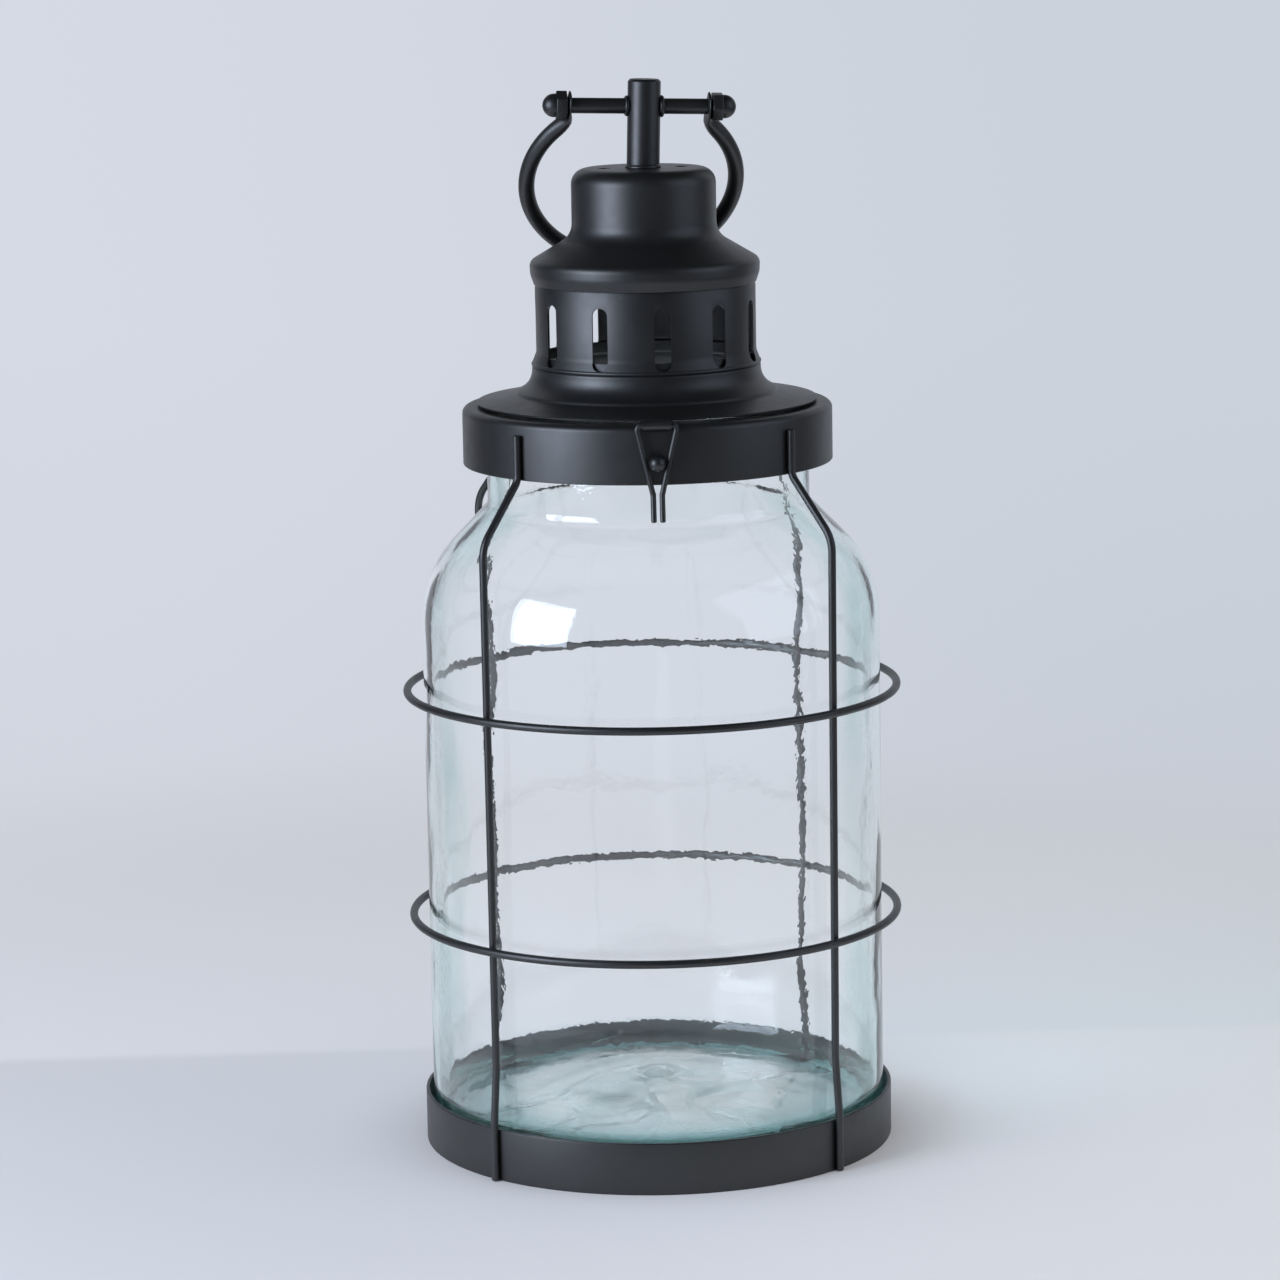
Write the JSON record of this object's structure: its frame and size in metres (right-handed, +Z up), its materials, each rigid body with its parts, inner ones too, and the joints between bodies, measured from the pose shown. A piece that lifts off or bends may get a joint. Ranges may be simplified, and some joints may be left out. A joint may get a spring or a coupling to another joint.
{
  "type": "candle lantern",
  "caption": "Round candle lantern: a clear glass jar in a black wire cage, with a hinged vented lid, a sprung wire latch and a swinging bail handle.",
  "frame": {"origin": "on the floor under the middle of the jar's foot", "axes": "+Z up through the jar and the lid; the latch faces -Y, the lid hinge is at +Y, +X is to the right of the latch"},
  "size_m": [0.1973, 0.1972, 0.4219],
  "materials": {
    "black_powder_coat": "satin black powder coat over steel",
    "clear_glass": "clear, wavy, faintly blue-green recycled glass"
  },
  "bodies": {
    "cage": {"bottom_band": "black_powder_coat", "jar_tabs": "black_powder_coat", "glass_jar": "clear_glass", "upright_front_left": "black_powder_coat", "upright_front_right": "black_powder_coat", "upright_back_left": "black_powder_coat", "upright_back_right": "black_powder_coat", "hoop_lower": "black_powder_coat", "hoop_upper": "black_powder_coat", "collar": "black_powder_coat", "ball_stud": "black_powder_coat", "hinge_leaf": "black_powder_coat", "hinge_pin": "black_powder_coat"},
    "lid": {"hinge_strap": "black_powder_coat", "lid_base": "black_powder_coat", "vent_drum": "black_powder_coat", "crown": "black_powder_coat", "lid_post": "black_powder_coat", "crossbar": "black_powder_coat", "acorn_nuts": "black_powder_coat", "latch_tab": "black_powder_coat"},
    "latch": {"latch_wire": "black_powder_coat"},
    "bail": {"bail": "black_powder_coat"}
  },
  "joints": [
    {"name": "lid_hinge", "type": "hinge", "parent": "cage", "child": "lid", "pos_m": [0, 0.07536, 0.29575], "axis": [-1, 0, 0], "range_deg": [0, 105], "deforming": ["latch_wire"]},
    {"name": "latch_swing", "type": "hinge", "parent": "lid", "child": "latch", "pos_m": [0, -0.075, 0.29575], "axis": [-1, 0, 0], "range_deg": [0, 225]},
    {"name": "bail_swing", "type": "hinge", "parent": "lid", "child": "bail", "pos_m": [-0.00105, -0.00013, 0.41124], "axis": [0.9971, 0.0698, -0.0313], "range_deg": [0, 284]}
  ]
}
